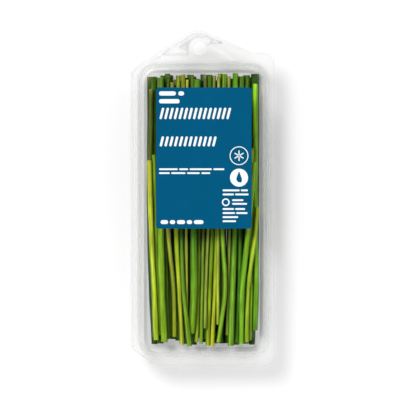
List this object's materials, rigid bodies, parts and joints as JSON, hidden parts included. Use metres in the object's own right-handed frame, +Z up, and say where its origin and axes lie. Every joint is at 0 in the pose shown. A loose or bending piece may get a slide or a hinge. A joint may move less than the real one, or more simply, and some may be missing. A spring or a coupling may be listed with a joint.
{
  "type": "chive bunch in clear hinged pack",
  "caption": "Bunch of cut chives lying in a clear thermoformed pack with a hinged domed lid, a hang tab with a round hole, and a plain blue label.",
  "frame": {"origin": "middle of the pack's footprint, on the surface that its tray lies on", "axes": "+Z up through the lid, +Y along the stems towards the hang tab, +X to the side away from the hinge"},
  "size_m": [0.0826, 0.1911, 0.0215],
  "materials": {
    "clear_plastic": "gloss",
    "blue_label": "satin",
    "chive_bright": "satin",
    "chive_mid": "satin",
    "chive_dark": "satin",
    "chive_olive": "satin",
    "chive_pale": "satin"
  },
  "bodies": {
    "tray": {"tray": "clear_plastic", "living_hinge": "clear_plastic", "chive_01": "chive_mid", "chive_02": "chive_mid", "chive_03": "chive_dark", "chive_04": "chive_dark", "chive_05": "chive_mid", "chive_06": "chive_mid", "chive_07": "chive_mid", "chive_08": "chive_dark", "chive_09": "chive_mid", "chive_10": "chive_mid", "chive_11": "chive_mid", "chive_12": "chive_dark", "chive_13": "chive_dark", "chive_14": "chive_dark", "chive_15": "chive_dark", "chive_16": "chive_dark", "chive_17": "chive_dark", "chive_18": "chive_dark", "chive_19": "chive_dark", "chive_20": "chive_mid", "chive_21": "chive_dark", "chive_22": "chive_mid", "chive_23": "chive_mid", "chive_24": "chive_dark", "chive_25": "chive_mid", "chive_26": "chive_dark", "chive_27": "chive_mid", "chive_28": "chive_mid", "chive_29": "chive_dark", "chive_30": "chive_mid", "chive_31": "chive_dark", "chive_32": "chive_dark", "chive_33": "chive_dark", "chive_34": "chive_mid", "chive_35": "chive_dark", "chive_36": "chive_olive", "chive_37": "chive_mid", "chive_38": "chive_mid", "chive_39": "chive_mid", "chive_40": "chive_bright", "chive_41": "chive_olive", "chive_42": "chive_mid", "chive_43": "chive_mid", "chive_44": "chive_mid", "chive_45": "chive_dark", "chive_46": "chive_mid", "chive_47": "chive_bright", "chive_48": "chive_olive", "chive_49": "chive_bright", "chive_50": "chive_olive", "chive_51": "chive_pale", "chive_52": "chive_pale", "chive_53": "chive_mid", "chive_54": "chive_bright", "chive_55": "chive_dark"},
    "lid": {"lid": "clear_plastic", "label": "blue_label"}
  },
  "joints": [
    {"name": "lid_hinge", "type": "hinge", "parent": "tray", "child": "lid", "pos_m": [-0.0408, 0, 0.014], "axis": [0, -1, 0], "range_deg": [0, 180]}
  ]
}
